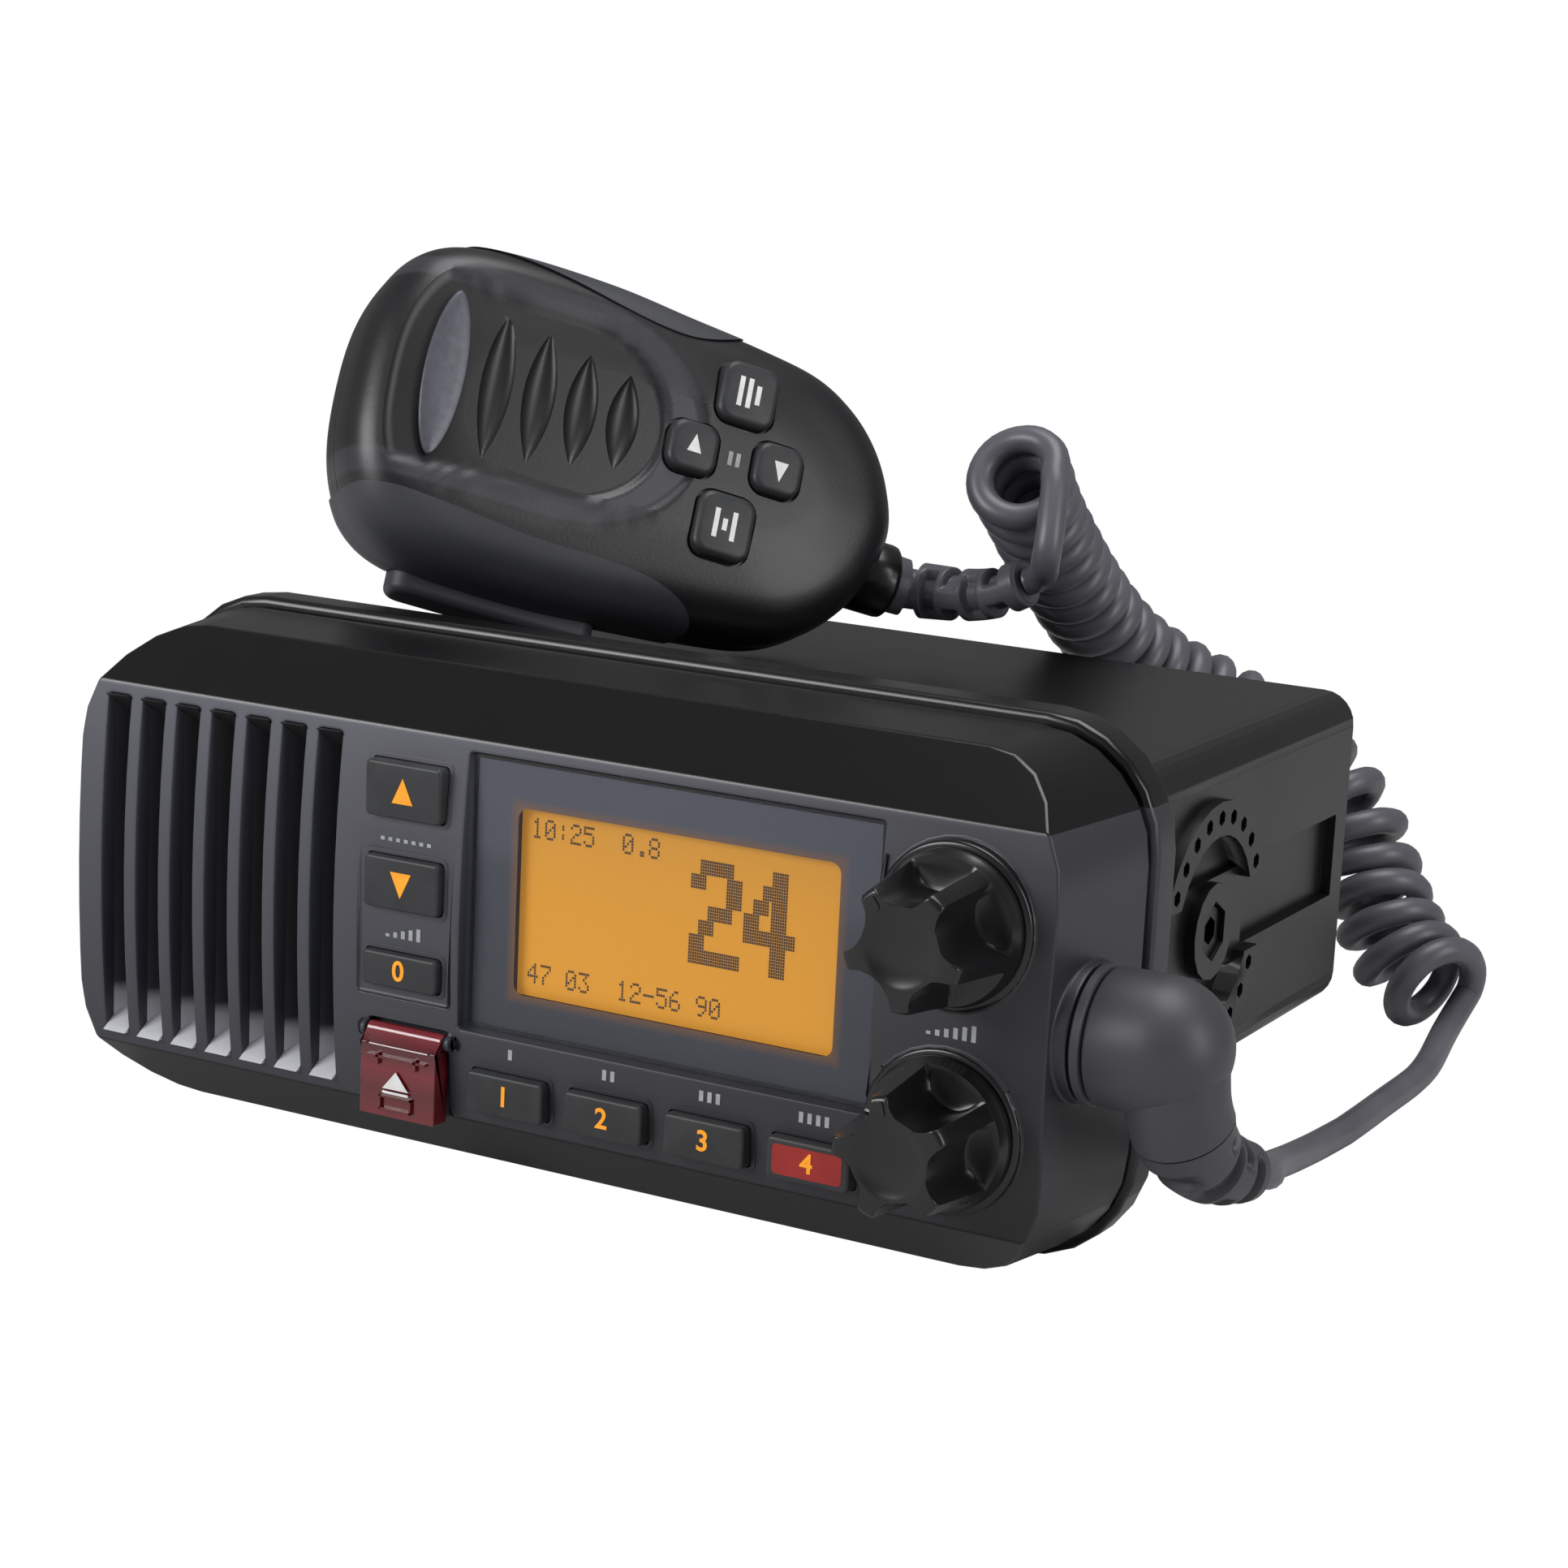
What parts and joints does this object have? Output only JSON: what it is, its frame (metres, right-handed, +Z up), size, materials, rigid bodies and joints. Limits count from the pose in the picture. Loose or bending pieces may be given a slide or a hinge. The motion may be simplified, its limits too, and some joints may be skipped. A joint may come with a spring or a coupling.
{
  "type": "marine radio with hand microphone",
  "caption": "Fixed-mount marine radio with a lit amber display, front keys, two lobed knobs, a side plug, and a hand microphone on a curly cord resting on top.",
  "frame": {"origin": "middle of the flat strip under the front housing's rear flange, on the surface that the radio stands on", "axes": "+X to the right as seen from the front, +Y to the back, +Z up"},
  "size_m": [0.2107, 0.2242, 0.1474],
  "materials": {
    "housing": "fine satin moulding, near black on the bevels and grey on the face",
    "black_plastic": "smooth black plastic with a soft gloss",
    "casting": "satin black powder coat on die-cast metal",
    "rubber": "soft-touch dark rubber",
    "key_rubber": "moulded silicone keys",
    "lens": "clear acrylic with a printed grey frame behind it",
    "screen": "amber back-lit display with dark dots",
    "inner_plastic": "plain moulded plastic inside the radio",
    "red_plastic": "tinted red plastic",
    "board": "green circuit board",
    "steel": "plain stainless steel",
    "brass": "plated brass",
    "paper": "treated paper loudspeaker cone",
    "cord_jacket": "smooth dark grey cord jacket",
    "badge": "bare grey oval plate"
  },
  "bodies": {
    "radio_body": {"front_bezel": "housing", "display_lens": "lens", "display_frame": "inner_plastic", "display_screen": "screen", "distress_hinge_pin": "steel", "volume_potentiometer": "inner_plastic", "squelch_potentiometer": "inner_plastic", "mic_socket": "brass", "keypad_mat": "key_rubber", "front_circuit_board": "board", "speaker_frame": "steel", "speaker_cone": "paper", "speaker_magnet": "steel", "housing_seal": "rubber", "rear_casing": "casting", "bracket_nut_left": "steel", "bracket_nut_right": "steel", "aerial_socket": "brass", "power_inlet": "rubber", "main_circuit_board": "board", "radio_shield_can": "steel", "casing_screw_1": "steel", "casing_screw_2": "steel", "casing_screw_3": "steel", "casing_screw_4": "steel", "plug_ring": "rubber", "plug_elbow": "rubber", "plug_boot": "rubber", "cord_plug_lead": "cord_jacket", "cord_coil": "cord_jacket", "cord_mic_lead": "cord_jacket"},
    "channel_up": {"channel_up_key": "key_rubber"},
    "channel_down": {"channel_down_key": "key_rubber"},
    "enter": {"enter_key": "key_rubber"},
    "menu": {"menu_key": "key_rubber"},
    "memory": {"memory_key": "key_rubber"},
    "scan": {"scan_key": "key_rubber"},
    "channel_sixteen": {"channel_sixteen_key": "key_rubber"},
    "distress_lid": {"distress_cover": "red_plastic"},
    "distress": {"distress_key": "red_plastic"},
    "volume": {"volume_knob": "black_plastic", "volume_shaft": "steel"},
    "squelch": {"squelch_knob": "black_plastic", "squelch_shaft": "steel"},
    "microphone": {"mic_front_shell": "black_plastic", "mic_back_shell": "black_plastic", "mic_grip_upper": "rubber", "mic_grip_lower": "rubber", "mic_badge": "badge", "mic_circuit_board": "board", "mic_capsule": "steel", "mic_hanger_stud": "steel", "mic_cord_collar": "black_plastic", "mic_cord_boot": "cord_jacket"},
    "mic_up": {"mic_up_key": "key_rubber"},
    "mic_down": {"mic_down_key": "key_rubber"},
    "mic_scan": {"mic_scan_key": "key_rubber"},
    "mic_sixteen": {"mic_sixteen_key": "key_rubber"},
    "mic_talk": {"mic_talk_key": "rubber"}
  },
  "joints": [
    {"name": "channel_up_press", "type": "slide", "parent": "radio_body", "child": "channel_up", "axis": [0, 1, 0], "range_m": [0, 0.001], "stiffness_N_per_m": 300},
    {"name": "channel_down_press", "type": "slide", "parent": "radio_body", "child": "channel_down", "axis": [0, 1, 0], "range_m": [0, 0.001], "stiffness_N_per_m": 300},
    {"name": "enter_press", "type": "slide", "parent": "radio_body", "child": "enter", "axis": [0, 1, 0], "range_m": [0, 0.001], "stiffness_N_per_m": 300},
    {"name": "menu_press", "type": "slide", "parent": "radio_body", "child": "menu", "axis": [0, 1, 0], "range_m": [0, 0.001], "stiffness_N_per_m": 300},
    {"name": "memory_press", "type": "slide", "parent": "radio_body", "child": "memory", "axis": [0, 1, 0], "range_m": [0, 0.001], "stiffness_N_per_m": 300},
    {"name": "scan_press", "type": "slide", "parent": "radio_body", "child": "scan", "axis": [0, 1, 0], "range_m": [0, 0.001], "stiffness_N_per_m": 300},
    {"name": "channel_sixteen_press", "type": "slide", "parent": "radio_body", "child": "channel_sixteen", "axis": [0, 1, 0], "range_m": [0, 0.001], "stiffness_N_per_m": 300},
    {"name": "distress_lid_hinge", "type": "hinge", "parent": "radio_body", "child": "distress_lid", "pos_m": [-0.0225, -0.0325, 0.0249], "axis": [-1, 0, 0], "range_deg": [0, 95], "stiffness_Nm_per_rad": 0.002},
    {"name": "distress_press", "type": "slide", "parent": "radio_body", "child": "distress", "axis": [0, 1, 0], "range_m": [0, 0.001], "stiffness_N_per_m": 300},
    {"name": "volume_turn", "type": "hinge", "parent": "radio_body", "child": "volume", "pos_m": [0.0745, -0.0421, 0.0595], "axis": [0, 1, 0], "range_deg": [-112, 188]},
    {"name": "squelch_turn", "type": "hinge", "parent": "radio_body", "child": "squelch", "pos_m": [0.0745, -0.0421, 0.0277], "axis": [0, 1, 0], "range_deg": [-136, 164]},
    {"name": "microphone_lift", "type": "slide", "parent": "radio_body", "child": "microphone", "axis": [-0.6095, -0.6311, 0.4798], "range_m": [0, 0.04]},
    {"name": "mic_up_press", "type": "slide", "parent": "microphone", "child": "mic_up", "axis": [-0.7379, 0.5659, -0.3679], "range_m": [0, 0.0008], "stiffness_N_per_m": 300},
    {"name": "mic_down_press", "type": "slide", "parent": "microphone", "child": "mic_down", "axis": [-0.7379, 0.5659, -0.3679], "range_m": [0, 0.0008], "stiffness_N_per_m": 300},
    {"name": "mic_scan_press", "type": "slide", "parent": "microphone", "child": "mic_scan", "axis": [-0.7379, 0.5659, -0.3679], "range_m": [0, 0.0008], "stiffness_N_per_m": 300},
    {"name": "mic_sixteen_press", "type": "slide", "parent": "microphone", "child": "mic_sixteen", "axis": [-0.7379, 0.5659, -0.3679], "range_m": [0, 0.0008], "stiffness_N_per_m": 300},
    {"name": "mic_talk_press", "type": "slide", "parent": "microphone", "child": "mic_talk", "axis": [-0.0984, 0.449, 0.8881], "range_m": [0, 0.0016], "stiffness_N_per_m": 400}
  ]
}
